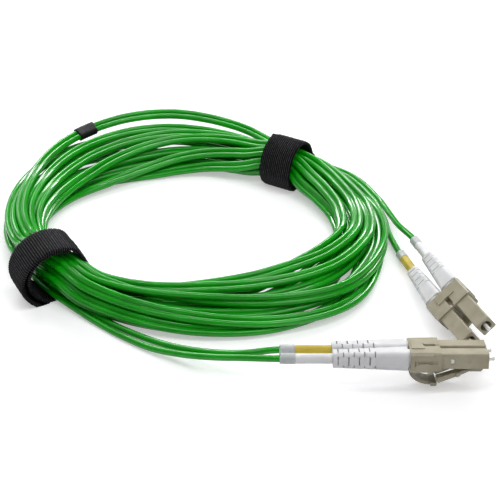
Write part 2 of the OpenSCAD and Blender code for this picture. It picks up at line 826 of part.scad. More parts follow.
if (is_node("zipcord_coil")) zipcord_coil();
if (is_node("strap_left")) strap_left();
if (is_node("strap_right")) strap_right();
if (is_node("marker_sleeve")) marker_sleeve();
if (is_node("leg_a1")) leg(path_a1);
if (is_node("leg_a2")) leg(path_a2);
if (is_node("leg_b1")) leg(path_b1);
if (is_node("leg_b2")) leg(path_b2);
if (is_node("clip_a")) front_pair() clip();
if (is_node("clip_b")) rear_pair() clip();
if (is_node("trigger_a")) front_pair() trigger();
if (is_node("trigger_b")) rear_pair() trigger();
if (is_node("housing_a1")) front_pair() side(1) housing();
if (is_node("housing_a2")) front_pair() side(-1) housing();
if (is_node("housing_b1")) rear_pair() side(-1) housing();
if (is_node("housing_b2")) rear_pair() side(1) housing();
if (is_node("latch_a1")) front_pair() side(1) latch();
if (is_node("latch_a2")) front_pair() side(-1) latch();
if (is_node("latch_b1")) rear_pair() side(-1) latch();
if (is_node("latch_b2")) rear_pair() side(1) latch();
if (is_node("ferrule_a1")) front_pair() side(1) ferrule();
if (is_node("ferrule_a2")) front_pair() side(-1) ferrule();
if (is_node("ferrule_b1")) rear_pair() side(-1) ferrule();
if (is_node("ferrule_b2")) rear_pair() side(1) ferrule();
if (is_node("holder_a1")) front_pair() side(1) holder();
if (is_node("holder_a2")) front_pair() side(-1) holder();
if (is_node("holder_b1")) rear_pair() side(-1) holder();
if (is_node("holder_b2")) rear_pair() side(1) holder();
if (is_node("fibre_a1")) front_pair() side(1) fibre();
if (is_node("fibre_a2")) front_pair() side(-1) fibre();
if (is_node("fibre_b1")) rear_pair() side(-1) fibre();
if (is_node("fibre_b2")) rear_pair() side(1) fibre();
if (is_node("spring_a1")) front_pair() side(1) spring();
if (is_node("spring_a2")) front_pair() side(-1) spring();
if (is_node("spring_b1")) rear_pair() side(-1) spring();
if (is_node("spring_b2")) rear_pair() side(1) spring();
if (is_node("back_body_a1")) front_pair() side(1) back_body();
if (is_node("back_body_a2")) front_pair() side(-1) back_body();
if (is_node("back_body_b1")) rear_pair() side(-1) back_body();
if (is_node("back_body_b2")) rear_pair() side(1) back_body();
if (is_node("crimp_ring_a1")) front_pair() side(1) crimp_ring();
if (is_node("crimp_ring_a2")) front_pair() side(-1) crimp_ring();
if (is_node("crimp_ring_b1")) rear_pair() side(-1) crimp_ring();
if (is_node("crimp_ring_b2")) rear_pair() side(1) crimp_ring();
if (is_node("boot_a1")) front_pair() side(1) boot(front_turn, front_bend);
if (is_node("boot_a2")) front_pair() side(-1) boot(front_turn, front_bend);
if (is_node("boot_b1")) rear_pair() side(-1) boot(rear_turn, rear_bend);
if (is_node("boot_b2")) rear_pair() side(1) boot(rear_turn, rear_bend);
if (is_node("id_sleeve_a1")) front_pair() side(1) id_sleeve(front_turn, front_bend, white);
if (is_node("id_sleeve_a2")) front_pair() side(-1) id_sleeve(front_turn, front_bend, yellow);
if (is_node("id_sleeve_b1")) rear_pair() side(-1) id_sleeve(rear_turn, rear_bend, white);
if (is_node("id_sleeve_b2")) rear_pair() side(1) id_sleeve(rear_turn, rear_bend, yellow);
if (is_node("end_sleeve_a1")) front_pair() side(1) end_sleeve(front_turn, front_bend);
if (is_node("end_sleeve_a2")) front_pair() side(-1) end_sleeve(front_turn, front_bend);
if (is_node("end_sleeve_b1")) rear_pair() side(-1) end_sleeve(rear_turn, rear_bend);
if (is_node("end_sleeve_b2")) rear_pair() side(1) end_sleeve(rear_turn, rear_bend);
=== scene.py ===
import json
import math
import bmesh
import bpy
import mathutils
import numpy as np
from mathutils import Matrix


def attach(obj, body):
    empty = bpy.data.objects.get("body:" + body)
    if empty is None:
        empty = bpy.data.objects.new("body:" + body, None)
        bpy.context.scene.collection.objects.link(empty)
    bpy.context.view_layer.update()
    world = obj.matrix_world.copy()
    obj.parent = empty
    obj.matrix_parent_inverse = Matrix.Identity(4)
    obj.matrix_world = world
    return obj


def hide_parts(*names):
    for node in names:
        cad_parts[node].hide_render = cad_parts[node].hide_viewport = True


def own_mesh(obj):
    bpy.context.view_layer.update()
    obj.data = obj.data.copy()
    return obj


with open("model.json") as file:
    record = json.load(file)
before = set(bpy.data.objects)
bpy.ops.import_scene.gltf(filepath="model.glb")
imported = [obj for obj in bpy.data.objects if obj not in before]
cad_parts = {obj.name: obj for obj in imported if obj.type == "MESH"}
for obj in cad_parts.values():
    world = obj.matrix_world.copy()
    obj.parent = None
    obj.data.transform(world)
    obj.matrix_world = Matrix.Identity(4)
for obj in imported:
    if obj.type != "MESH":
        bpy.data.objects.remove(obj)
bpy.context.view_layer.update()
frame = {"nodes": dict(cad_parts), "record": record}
base = "base"
mm = 0.001
# Added to a length before dividing by it
tiny = 1e-9


def deselectAll():
    if bpy.context.object and bpy.context.object.mode != "OBJECT":
        bpy.ops.object.mode_set(mode="OBJECT")
    bpy.ops.object.select_all(action="DESELECT")


# A long lens from the front, looking down at the coil
cameraSet = {
    "target": (18.5, -10.3, 0.0), "distance": 460.0, "elevation": 32.0,
    "lens": 102.96, "sensor": 36.0, "clip": 0.01,
}


def addCamera():
    s = cameraSet
    rise = math.radians(s["elevation"])
    x, y, z = s["target"]
    place = (x, y - s["distance"] * math.cos(rise), z + s["distance"] * math.sin(rise))
    deselectAll()
    bpy.ops.object.camera_add(
        location=[c * mm for c in place], rotation=(math.pi / 2 - rise, 0, 0))
    camera = bpy.context.object
    camera.data.lens = s["lens"]
    camera.data.sensor_width = s["sensor"]
    camera.data.clip_start = s["clip"]
    bpy.context.scene.camera = camera


addCamera()
print("camera placed")


def srgb(hexColour):
    parts = [int(hexColour[i:i + 2], 16) / 255 for i in (1, 3, 5)]
    linear = [c / 12.92 if c <= 0.04045 else ((c + 0.055) / 1.055) ** 2.4 for c in parts]
    return linear + [1.0]


def setStops(band, stops):
    for element, (position, colour) in zip(band.elements, (stops[0], stops[-1])):
        element.position = position
        element.color = srgb(colour)
    for position, colour in stops[1:-1]:
        band.elements.new(position).color = srgb(colour)


def joinInputs(tree, node, links):
    for name, source in links.items():
        tree.links.new(source, node.inputs[name])


# A setting is an input by its name or number, a value of the node itself, or a ramp's stops
def addNode(tree, kind, settings=None, links=None):
    node = tree.nodes.new(kind)
    for name, value in (settings or {}).items():
        if name == "stops":
            setStops(node.color_ramp, value)
        elif isinstance(name, int) or name in node.inputs:
            node.inputs[name].default_value = value
        else:
            setattr(node, name, value)
    joinInputs(tree, node, links or {})
    return node


def newMaterial(name, settings):
    material = bpy.data.materials.new(name)
    material.use_nodes = True
    tree = material.node_tree
    tree.nodes.clear()
    output = addNode(tree, "ShaderNodeOutputMaterial")
    shader = addNode(tree, "ShaderNodeBsdfPrincipled", settings)
    joinInputs(tree, output, {"Surface": shader.outputs["BSDF"]})
    place = addNode(tree, "ShaderNodeTexCoord").outputs["Object"]
    return material, tree, shader, place


# Clouds vary the colour, and finer marks vary the gloss and raise the grain. Both are given as
# cells to the metre, so 1000 is a cell every millimetre, and detail
def makeFinish(name, settings, stops, cloud, marks=None, rough=None, bump=None):
    material, tree, shader, place = newMaterial(name, settings)
    colour, grain = [
        addNode(tree, "ShaderNodeTexNoise", {"Scale": scale, "Detail": detail},
                {"Vector": place}).outputs["Fac"]
        for scale, detail in (cloud, marks or cloud)]
    ramp = addNode(tree, "ShaderNodeValToRGB", {"stops": stops}, {"Fac": colour})
    joinInputs(tree, shader, {"Base Color": ramp.outputs["Color"]})
    if rough:
        spread = addNode(tree, "ShaderNodeMapRange", {"To Min": rough[0], "To Max": rough[1]},
                         {"Value": grain})
        joinInputs(tree, shader, {"Roughness": spread.outputs["Result"]})
    if bump:
        raised = addNode(tree, "ShaderNodeBump", {"Strength": bump[0], "Distance": bump[1]},
                         {"Height": grain})
        joinInputs(tree, shader, {"Normal": raised.outputs["Normal"]})
    return material


# Hook-and-loop tape, woven: near black and matt, with a rib every ribStep millimetres. The rib
# crests, speckled by the nap, are painted light grey as a painted sheen, and raised by a bump;
# the tape's own coordinates run along it in X and across it in Y
def tapeWithPaintedSheen(name, way, ribStep):
    material, tree, shader, place = newMaterial(
        name, {"Roughness": 0.8, "Specular IOR Level": 0.18})
    onTape = addNode(tree, "ShaderNodeTexCoord").outputs["UV"]
    apart = addNode(tree, "ShaderNodeSeparateXYZ", links={"Vector": onTape})
    nap = addNode(tree, "ShaderNodeTexNoise", {"Scale": 3200.0, "Detail": 3.0, "Roughness": 0.7},
                  {"Vector": place})
    ribs = addNode(tree, "ShaderNodeMath", {"operation": "PINGPONG", 1: ribStep / 2},
                   {0: apart.outputs[way]})
    crestForSheenAndBump = addNode(tree, "ShaderNodeMapRange",
                    {"From Min": ribStep * 0.16, "From Max": ribStep * 0.5},
                    {"Value": ribs.outputs["Value"]})
    height = addNode(tree, "ShaderNodeMath", {"operation": "MULTIPLY"},
                     {0: crestForSheenAndBump.outputs["Result"], 1: nap.outputs["Fac"]}).outputs["Value"]
    # painted sheen: the rib crests are coloured light grey as if light caught them, the hollows
    # stay near black
    stops = [(0.1, "#050506"), (0.3, "#0F0F11"), (0.56, "#605F66")]
    ramp = addNode(tree, "ShaderNodeValToRGB", {"stops": stops}, {"Fac": height})
    bump = addNode(tree, "ShaderNodeBump", {"Strength": 0.8, "Distance": 0.0002},
                   {"Height": height})
    joinInputs(tree, shader,
               {"Base Color": ramp.outputs["Color"], "Normal": bump.outputs["Normal"]})
    return material


# Moulded plastic: a fine spark-eroded grain that breaks the gloss
def mouldedFinish(name, colours, rough, grain=2200.0, strength=0.16):
    return makeFinish(
        name, {"IOR": 1.5}, list(zip((0.3, 0.5, 0.72), colours)), cloud=(240.0, 4.0),
        marks=(grain, 2.0), rough=(rough, rough + 0.14), bump=(strength, 0.00005))


# Plated or drawn metal, with fine turning marks
def metalFinish(name, dark, light, rough):
    return makeFinish(name, {"Metallic": 1.0}, [(0.3, dark), (0.7, light)],
                      cloud=(3000.0, 3.0), rough=(rough, rough + 0.15))


# PVC jacket, extruded: smooth and fairly glossy, with a faint drawn-out ripple
jacketFinish = makeFinish(
    "extrudedPvcJacket", {"IOR": 1.53, "Specular IOR Level": 0.4},
    [(0.3, "#07900A"), (0.5, "#0B9C0E"), (0.7, "#10A714")],
    cloud=(90.0, 3.0), marks=(1400.0, 2.0), rough=(0.1, 0.17), bump=(0.06, 0.0001))
# The left strap's ribs lie across the tape, and the right one's along it
strapFinish = tapeWithPaintedSheen("wovenHookTapeWithPaintedSheen", "X", 0.75)
hatchedFinish = tapeWithPaintedSheen("wovenHatchedTapeWithPaintedSheen", "Y", 0.7)
# Heat-shrink polyolefin: dark, semi-matt, slightly orange-peeled
markerFinish = makeFinish(
    "heatShrinkSleeve", {"Specular IOR Level": 0.25}, [(0.3, "#060607"), (0.7, "#0C0C0E")],
    cloud=(900.0, 2.0), rough=(0.45, 0.62), bump=(0.25, 0.00008))
# Housings, clips, latches and triggers, of satin PBT
beigeFinish = mouldedFinish("mouldedBeigePbt", ("#98917A", "#A29B84", "#ABA48F"), 0.34)
# Boots of a soft elastomer: matt, with a coarser grain
bootFinish = mouldedFinish(
    "mouldedWhiteTpe", ("#D2D2D4", "#DADADC", "#E2E2E4"), 0.5, 1500.0, 0.12)
# PVC sleeves, drawn smooth over the cord, and the fibre's own tight buffer
whiteFinish = mouldedFinish(
    "whiteSleevePvc", ("#DADADC", "#E2E2E4", "#EAEAEC"), 0.4, 1200.0, 0.08)
yellowFinish = mouldedFinish(
    "yellowSleevePvc", ("#BBA42C", "#C5AE34", "#CFB93F"), 0.4, 1200.0, 0.08)
bufferFinish = mouldedFinish("fibreBuffer", ("#D8D8D0", "#E0E0D8", "#E6E6DE"), 0.4)
# Zirconia: dense white ceramic, ground and polished
ceramicFinish = makeFinish(
    "polishedZirconia", {"IOR": 2.1}, [(0.3, "#ECECE6"), (0.7, "#F7F7F3")],
    cloud=(500.0, 2.0), rough=(0.1, 0.18))
# Metal inside the plugs: the plated body and holder, the wound spring and the crimped ring
nickelFinish = metalFinish("platedNickel", "#A9A8A2", "#C2C1BB", 0.22)
springFinish = metalFinish("drawnSpringSteel", "#A4A6AA", "#BFC1C5", 0.2)
crimpFinish = metalFinish("drawnAluminium", "#B6B7BA", "#CBCCCF", 0.3)
# Clear heat-shrink: milky, with the jacket just showing through
clearFinish = makeFinish(
    "clearHeatShrink", {"Roughness": 0.32, "Alpha": 0.82}, [(0.3, "#BEC2C4"), (0.7, "#D4D7D8")],
    cloud=(700.0, 2.0))
print("materials made")

slotFinish = {
    "jacket": jacketFinish, "strap": strapFinish, "marker": markerFinish, "beige": beigeFinish,
    "zirconia": ceramicFinish, "nickel": nickelFinish, "buffer": bufferFinish,
    "spring_steel": springFinish, "crimp_metal": crimpFinish, "boot_white": bootFinish,
    "sleeve_white": whiteFinish, "sleeve_yellow": yellowFinish, "clear_sleeve": clearFinish,
}


def dressCadNodes():
    slotOf = {row["node"]: row["material_slot"] for row in frame["record"]["subparts"]}
    for name, piece in frame["nodes"].items():
        piece.data.materials.clear()
        piece.data.materials.append(slotFinish[slotOf[name]])


dressCadNodes()

# The cord: two jackets and a web, in eleven and a half turns; stations and knots are to a turn
cordSet = {
    "jacket": 2.0, "pitch": 2.05, "sides": 16, "webHeight": 0.7, "webInset": 0.25,
    "turns": 11.5833, "start": -135.0, "stations": 96, "knots": 16,
    "step": 1.8, "legStep": 1.5, "seatSteps": 5,
}
# How the turns lie in the bundle's section: a double spiral that is sheared once and twice a turn
# (size, phase, and for the first the place that stays), then stirred (waves, size, phase).
# The pair's roll wanders, and is level at both ends
layingSet = {
    "windings": 4.47, "firstAt": -40.0, "outward": 0.3,
    "once": (31.6, 0.5, 0.6), "twice": (15.4, 2.5),
    "stir": [(2.42, 0.09, 0.54), (2.95, 0.11, 1.13)],
    "seed": 14, "roll": 70.0, "rollTurns": 0.6, "rollRise": 6, "standRoll": 30.0,
}
# How the turns settle: what drives them, what holds them to where they were laid, what spreads
# them where the bundle is wide, and how stiff and heavy they are
settleSet = {
    "steps": 450, "drive": 1.6, "gap": 0.03, "hold": 0.08, "rollHold": 0.01,
    "standHold": 0.35, "endHold": 0.3, "even": 0.06, "evenTo": 0.8, "evenFrom": 6, "evenOver": 5,
    "bend": 0.03, "squeeze": 0.25, "weight": 0.004,
}
# How the jackets then ease clear of each other, one by one, and stay a pair
easeSet = {
    "steps": 140, "push": 0.6, "standHold": 0.7, "keepPitch": 0.4, "fair": 0.25,
    "reaches": (1, 2, 4),
}
# The bundle's section round the coil: angle, middle radius, half width, half height, rise of the
# outer side
bundleShape = [
    (-142.5, 52.6, 5.0, 5.8, 0.0), (-126, 51.4, 5.6, 5.1, -0.5), (-108, 50.1, 7.8, 4.1, -1.2),
    (-84, 50.6, 11.6, 3.7, -2.2), (-60, 52.8, 15.2, 3.5, -2.6), (-42, 54.0, 17.0, 3.6, -2.4),
    (-24, 54.2, 13.6, 4.0, -1.5), (-10, 54.8, 10.6, 4.5, -0.7), (4, 53.2, 9.6, 4.7, 0.2),
    (18, 50.6, 8.8, 4.8, 0.8), (33, 49.4, 9.0, 4.9, 0.6), (48.6, 47.2, 5.6, 5.6, 0.0),
    (62, 46.8, 8.8, 5.0, 0.6), (73, 47.8, 11.2, 4.5, 1.4), (85, 49.3, 12.4, 4.0, 2.2),
    (99, 50.4, 14.4, 3.7, 2.9), (116, 51.2, 16.0, 3.6, 3.2), (138, 53.0, 15.0, 3.8, 2.8),
    (156, 54.3, 11.4, 4.2, 1.5), (174, 54.5, 8.0, 4.7, 0.3), (194, 53.8, 6.2, 5.0, 0.0),
]
# How far the turns have swayed round in the section, by angle
bundleSway = [
    (-135, 0), (-90, -10), (-55, -30), (-25, -75), (0, -118), (30, -146), (60, -130),
    (100, -112), (130, -98), (160, -72), (190, -34),
]
# The straps lift the bundle where they pass under it: angle and lift, and how far round it shows
strapLifts = {"places": [(-142.5, 2.6), (48.6, 1.3)], "reach": 14.0}
# The last turn stands off behind: from and over which angle, radius, height
standOff = {"from": 53.0, "over": 99.0, "radius": 66.8, "height": 10.6, "power": 1.1}
# Where the coil passes into the legs, and over how many turns it comes there and is held
coilEnds = {
    "first": (-36.6082, -42.3357, 2.366), "last": (62.6368, 12.5906, 2.2),
    "coming": 0.16, "held": 0.1,
}
legRoutes = {
    "a1": [(-32.6, -47.4, 1.6), (-26.6, -52.8, 1.1), (-19.5, -59, 1.1), (-10.4, -65.8, 1.5),
           (-1.4, -71.1, 3.1), (8, -75.7, 5.4), (16.5, -79.3, 7.8)],
    "a2": [(-31.2, -45.9, 1.6), (-25.2, -50.9, 1.1), (-18, -56.6, 1.1), (-9, -62.8, 1.5),
           (-0.6, -68.2, 2.9), (8.4, -72.9, 4.9), (16.5, -76.2, 7.1)],
    "b1": [(65.2, 7, 2.6), (66.8, -0.5, 3.6), (68.3, -6, 4.7)],
    "b2": [(62.9, 6.5, 1.6), (63.6, -1, 1.3), (64.6, -7.5, 1.5)],
}
# Each leg's straight end inside its plug
legSeats = {
    "a1": ((25.2, -82.332, 9.756), (60.2, -82.332, 9.756)),
    "a2": ((25.2, -76.268, 8.244), (60.2, -76.268, 8.244)),
    "b1": ((70.327, -12.648, 5.896), (78.008, -46.536, 10.094)),
    "b2": ((65.907, -14.310, 1.801), (73.588, -48.197, 5.999)),
}


def easeBetween(part):
    return (1 - np.cos(np.pi * part)) / 2


# The cubic through four neighbouring values, between the second and the third
def throughFour(a, b, c, d, part):
    return 0.5 * (2 * b + (c - a) * part + (2 * a - 5 * b + 4 * c - d) * part ** 2
                  + (3 * b - a - 3 * c + d) * part ** 3)


# The columns of a table that closes on itself, by angle
def roundTable(rows, angle):
    rows = np.array(rows, float)
    count = len(rows)
    knots = np.append(rows[:, 0], rows[0, 0] + 360)
    wrapped = (angle - knots[0]) % 360 + knots[0]
    i = np.clip(np.searchsorted(knots, wrapped, side="right") - 1, 0, count - 1)
    part = (wrapped - knots[i]) / (knots[i + 1] - knots[i])
    return [throughFour(v[i - 1], v[i], v[(i + 1) % count], v[(i + 2) % count], part)
            for v in rows[:, 1:].T]


# The lowest that a jacket's middle lies, on the table or on a strap
def lowestAt(angle):
    lift = np.zeros(len(angle))
    for where, height in strapLifts["places"]:
        away = (angle - where + 180) % 360 - 180
        lift = np.maximum(lift, height * np.exp(-(away / strapLifts["reach"]) ** 4))
    return cordSet["jacket"] / 2 + lift


def sectionAt(angle):
    middle, half, high, tilt = roundTable(bundleShape, angle)
    return {"middle": middle, "half": half, "high": high, "tilt": tilt,
            "rise": lowestAt(angle) + np.hypot(high, tilt)}


def sectionFor(section, points):
    shape = (-1,) + (1,) * (points.ndim - 2)
    return [section[k].reshape(shape) for k in ("middle", "half", "high", "tilt", "rise")]


# Between places in the section's unit disc and radius and height
def fromDisc(section, disc, inset=0.0):
    middle, half, high, tilt, rise = sectionFor(section, disc)
    x, y = disc[..., 0], disc[..., 1]
    return np.stack([middle + (half - inset) * x, rise + (high - inset) * y + tilt * x], -1)


def toDisc(section, points):
    middle, half, high, tilt, rise = sectionFor(section, points)
    x = (points[..., 0] - middle) / half
    return np.stack([x, (points[..., 1] - rise - tilt * x) / high], -1)


# Each turn's place in the section, as a point of the unit disc, with both ends of the cord outside
def placeInSection(turn, around):
    s = layingSet
    along = 2 * turn / cordSet["turns"] - 1
    out = np.abs(along) ** s["outward"]
    bearing = (s["windings"] * (np.abs(along) - 1) + np.where(along < 0, 0, math.pi)
               + math.radians(s["firstAt"]))
    sway = roundTable(bundleSway, np.degrees(around))[0]
    size, phase, still = s["once"]
    sway += size * np.sin(around + phase) * (still - out)
    size, phase = s["twice"]
    sway += size * np.sin(2 * around + phase) * np.cos(2 * math.pi * out)
    bearing += np.radians(sway)
    disc = np.stack([out * np.cos(bearing), out * np.sin(bearing)], 1)
    for wave, size, phase in s["stir"]:
        swing = size * np.sin(around + phase)
        fade = np.clip(1 - (disc ** 2).sum(1), 0, 1)
        disc[:, 0] += swing * np.sin(wave * disc[:, 1] + phase) * fade
        disc[:, 1] += swing * np.sin(wave * disc[:, 0] + 2 * phase) * fade
    return disc


# How far each jacket is pushed by the other turns that pass the same angle
def pushApart(points):
    # the grid's spare places stand far away, each by itself
    farOff, farStep = 1e6, 50
    perTurn = cordSet["stations"]
    count = len(points)
    rows = -(-count // perTurn)
    spare = rows * perTurn - count
    grid = np.concatenate([points, np.full((spare, 2, 2), farOff)])
    grid[count:, :, 0] += np.arange(spare)[:, None] * farStep
    grid = grid.reshape(rows, perTurn, 2, 2).transpose(1, 0, 2, 3).reshape(perTurn, rows * 2, 2)
    own = np.arange(rows * 2) // 2
    other = (own[:, None] != own[None, :])[None]
    apart = grid[:, :, None, :] - grid[:, None, :, :]
    reach = np.linalg.norm(apart, axis=3)
    least = cordSet["jacket"] + settleSet["gap"]
    over = np.where(other & (reach < least), least - reach, 0)
    push = 0.5 * ((over / (reach + tiny))[:, :, :, None] * apart).sum(2)
    return push.reshape(perTurn, rows, 2, 2).transpose(1, 0, 2, 3).reshape(-1, 2, 2)[:count]


# The pull on each turn towards an even place across the section, in order from the inside out
def spreadEvenly(across, loose):
    perTurn = cordSet["stations"]
    rows = -(-len(across) // perTurn)
    grid = np.full(rows * perTurn, np.nan)
    grid[:len(across)] = np.where(loose > 0.5, across, np.nan)
    grid = grid.reshape(rows, perTurn)
    rank = np.argsort(np.argsort(grid, axis=0), axis=0)
    shares = np.maximum(1, (~np.isnan(grid)).sum(0))
    even = (2 * (rank + 0.5) / shares - 1) * settleSet["evenTo"]
    return np.nan_to_num(even - grid).ravel()[:len(across)]


# From the pair's middle to one jacket
def pairSide(roll):
    return np.stack([np.cos(roll), np.sin(roll)], 1) * cordSet["pitch"] / 2


def layStations():
    turn = np.arange(int(round(cordSet["turns"] * cordSet["stations"])) + 1) / cordSet["stations"]
    angle = cordSet["start"] - 360 * turn
    behind = (angle + 360 * math.ceil(cordSet["turns"]) - standOff["from"]) / standOff["over"]
    swell = np.sin(np.pi * np.clip(behind, 0, 1)) ** standOff["power"]
    return {"turn": turn, "around": np.radians(angle), "section": sectionAt(angle),
            "low": lowestAt(angle), "stand": np.where(turn > cordSet["turns"] - 1, swell, 0)}


def nearEnd(turn, where, reach):
    return easeBetween(np.clip(1 - np.abs(turn - turn[where]) / reach, 0, 1))


# Where each station is laid: radius and height, and how much it belongs to a leg
def layGoals(laid):
    turn, section = laid["turn"], laid["section"]
    disc = placeInSection(turn, laid["around"])
    inside = disc / np.maximum(1, np.linalg.norm(disc, axis=1, keepdims=True))
    goal = fromDisc(section, inside, cordSet["jacket"] / 4)
    spot = np.array([standOff["radius"], standOff["height"]])
    goal += laid["stand"][:, None] * (spot - goal)
    ends = {}
    drawn = np.zeros(len(turn))
    for key, where in (("first", 0), ("last", len(turn) - 1)):
        x, y, z = coilEnds[key]
        ends[where] = np.array([math.hypot(x, y), z, 0])
        near = nearEnd(turn, where, coilEnds["coming"])
        goal += near[:, None] * (ends[where][:2] - goal)
        drawn = np.maximum(drawn, near)
    return goal, drawn, ends


def layRoll(laid):
    s = layingSet
    turn = laid["turn"]
    rng = np.random.default_rng(s["seed"])
    wave = turn / s["rollTurns"]
    left = wave.astype(int)
    part = easeBetween(wave - left)
    values = rng.uniform(-1, 1, left[-1] + 2)
    roll = math.radians(s["roll"]) * (values[left] * (1 - part) + values[left + 1] * part)
    roll += laid["stand"] * (math.radians(s["standRoll"]) - roll)
    fromEnds = np.minimum(turn, cordSet["turns"] - turn)
    return roll * np.minimum(1, fromEnds * s["rollRise"])


# The weight of each knot of a cubic spline at each station
def splineWeights(turn):
    knots = int(math.ceil(cordSet["turns"] * cordSet["knots"])) + 3
    knotAt = turn * cordSet["knots"]
    first = np.minimum(knotAt.astype(int), knots - 4)
    f = knotAt - first
    shares = ((1 - f) ** 3, 3 * f ** 3 - 6 * f ** 2 + 4, -3 * f ** 3 + 3 * f ** 2 + 3 * f + 1,
              f ** 3)
    weights = np.zeros((len(turn), knots))
    for shift, share in enumerate(shares):
        weights[np.arange(len(turn)), first + shift] = share / 6
    return weights


# The turns as splines of their place in the section's disc and their roll, which give way where
# jackets press on each other
def settleTurns(laid, goal, drawn, roll):
    s = settleSet
    section, low, stand = laid["section"], laid["low"], laid["stand"]
    weights = splineWeights(laid["turn"])
    gather = weights.T / weights.sum(0)[:, None]
    state = np.linalg.lstsq(
        weights, np.column_stack([toDisc(section, goal), roll]), rcond=None)[0]
    firm = s["standHold"] * stand + s["endHold"] * drawn
    loose = ((1 - stand) * (1 - drawn))[:, None, None]
    wide = np.clip((section["half"] - s["evenFrom"]) / s["evenOver"], 0, 1)
    for step in range(s["steps"]):
        cool = 1 - step / s["steps"]
        now = weights @ state
        side = pairSide(now[:, 2])
        middle = fromDisc(section, now[:, :2])
        points = np.stack([middle + side, middle - side], 1)
        push = pushApart(points)
        # the outermost jackets are drawn back into the bundle, and the lowest rest on the table
        inDisc = toDisc(section, points)
        beyond = np.maximum(1, np.linalg.norm(inDisc, axis=2, keepdims=True))
        push += s["squeeze"] * loose * (fromDisc(section, inDisc / beyond) - points)
        push[:, :, 1] += np.maximum(0, low[:, None] - points[:, :, 1]) - s["weight"]
        shift = push.mean(1) + (s["hold"] * cool ** 2 + firm)[:, None] * (goal - middle)
        shift[:, 0] /= section["half"]
        shift[:, 1] = (shift[:, 1] - section["tilt"] * shift[:, 0]) / section["high"]
        shift[:, 0] += s["even"] * wide * spreadEvenly(now[:, 0], loose[:, 0, 0])
        twist = (push[:, 0] - push[:, 1]) / 2
        turned = side[:, 0] * twist[:, 1] - side[:, 1] * twist[:, 0]
        turned = turned / (cordSet["pitch"] / 2) ** 2
        turned += (s["rollHold"] * cool + firm) * (roll - now[:, 2])
        state += s["drive"] * (gather @ np.column_stack([shift, turned]))
        state[2:-2] -= s["bend"] * (state[:-4] - 4 * state[1:-3] + 6 * state[2:-2]
                                    - 4 * state[3:-1] + state[4:])
    now = weights @ state
    now[:, :2] = fromDisc(section, now[:, :2])
    return now


# The jackets of the pair at each station, moved clear of each other by fair steps
def easeJackets(laid, drawn, pair):
    s = easeSet
    moved = np.zeros_like(pair)
    held = (1 - np.maximum(drawn, s["standHold"] * laid["stand"]))[:, None, None]
    for _ in range(s["steps"]):
        push = pushApart(pair + moved)
        push[:, :, 1] += np.maximum(0, laid["low"][:, None] - (pair + moved)[:, :, 1])
        moved += s["push"] * held * push
        gap = (pair + moved)[:, 0] - (pair + moved)[:, 1]
        size = np.linalg.norm(gap, axis=1, keepdims=True)
        fix = s["keepPitch"] * (size - cordSet["pitch"]) * gap / size
        moved[:, 0] -= fix
        moved[:, 1] += fix
        for reach in s["reaches"]:
            fair = moved.copy()
            fair[reach:-reach] = (moved[2 * reach:] + moved[:-2 * reach]) / 2
            moved += s["fair"] * (fair - moved)
    return pair + moved * (1 - drawn)[:, None, None]


# The middle line of each jacket round the coil
def windCoil():
    laid = layStations()
    goal, drawn, ends = layGoals(laid)
    now = settleTurns(laid, goal, drawn, layRoll(laid))
    for where, spot in ends.items():
        near = nearEnd(laid["turn"], where, coilEnds["held"])[:, None]
        now += near * (spot - now[where])
    side = pairSide(now[:, 2])
    points = easeJackets(laid, drawn, np.stack([now[:, :2] + side, now[:, :2] - side], 1))
    points[:, :, 1] = np.maximum(points[:, :, 1], cordSet["jacket"] / 2)
    flat = np.stack([np.cos(laid["around"]), np.sin(laid["around"])], 1)
    return [np.concatenate([flat * points[:, j, :1], points[:, j, 1:]], 1) for j in (0, 1)]


coilPaths = windCoil()
print("coil wound")


# A smooth curve through the points, with a station about every step millimetres
def fairCurve(points, step):
    points = np.asarray(points, float)
    padded = np.vstack([2 * points[0] - points[1], points, 2 * points[-1] - points[-2]])
    found = []
    for i in range(1, len(padded) - 2):
        a, b, c, d = padded[i - 1:i + 3]
        n = max(1, int(round(np.linalg.norm(c - b) / step)))
        for f in np.arange(n) / n:
            found.append(throughFour(a, b, c, d, f))
    found.append(points[-1])
    return np.array(found)


# Both paths of a pair, with their stations abreast
def fairPair(paths, step):
    both = fairCurve(np.hstack(paths), step * math.sqrt(2))
    return both[:, :3], both[:, 3:]


def lengthsAlong(path):
    return np.concatenate([[0], np.cumsum(np.linalg.norm(np.diff(path, axis=0), axis=1))])


# One jacket from inside its front plug, round the coil, to inside its rear plug
def wholePath(j, front, rear):
    s = cordSet
    ends = {}
    for name in (front, rear):
        near, far = [np.array(p) for p in legSeats[name]]
        parts = np.arange(s["seatSteps"] + 1) / s["seatSteps"]
        ends[name] = ([np.array(p, float) for p in legRoutes[name]]
                      + [near + (far - near) * f for f in parts])
    startLeg = fairCurve(ends[front][::-1] + [coilPaths[j][0]], s["legStep"])[:-1]
    lastLeg = fairCurve([coilPaths[j][-1]] + ends[rear], s["legStep"])[1:]
    return np.vstack([startLeg, fairCurve(coilPaths[j], s["step"]), lastLeg])


def addPiece(name, mesh):
    mesh.polygons.foreach_set("use_smooth", [True] * len(mesh.polygons))
    piece = bpy.data.objects.new(name, mesh)
    bpy.context.collection.objects.link(piece)
    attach(piece, base)
    return piece


# A closed mesh from rings of points; a looped one joins its last ring to its first
def skinRings(name, rings, finish, looped=False):
    count, sides = rings.shape[:2]
    index = np.arange(count * sides).reshape(count, sides)
    ahead = np.roll(index, -1, axis=0) if looped else index[1:]
    here = index if looped else index[:-1]
    quads = np.stack([here, np.roll(here, -1, axis=1), np.roll(ahead, -1, axis=1), ahead], 2)
    faces = quads.reshape(-1, 4).tolist()
    if not looped:
        faces += [index[0][::-1].tolist(), index[-1].tolist()]
    mesh = bpy.data.meshes.new(name)
    mesh.from_pydata((rings.reshape(-1, 3) * mm).tolist(), [], faces)
    mesh.materials.append(finish)
    bm = bmesh.new()
    bm.from_mesh(mesh)
    bmesh.ops.recalc_face_normals(bm, faces=bm.faces)
    bm.to_mesh(mesh)
    bm.free()
    return addPiece(name, mesh)


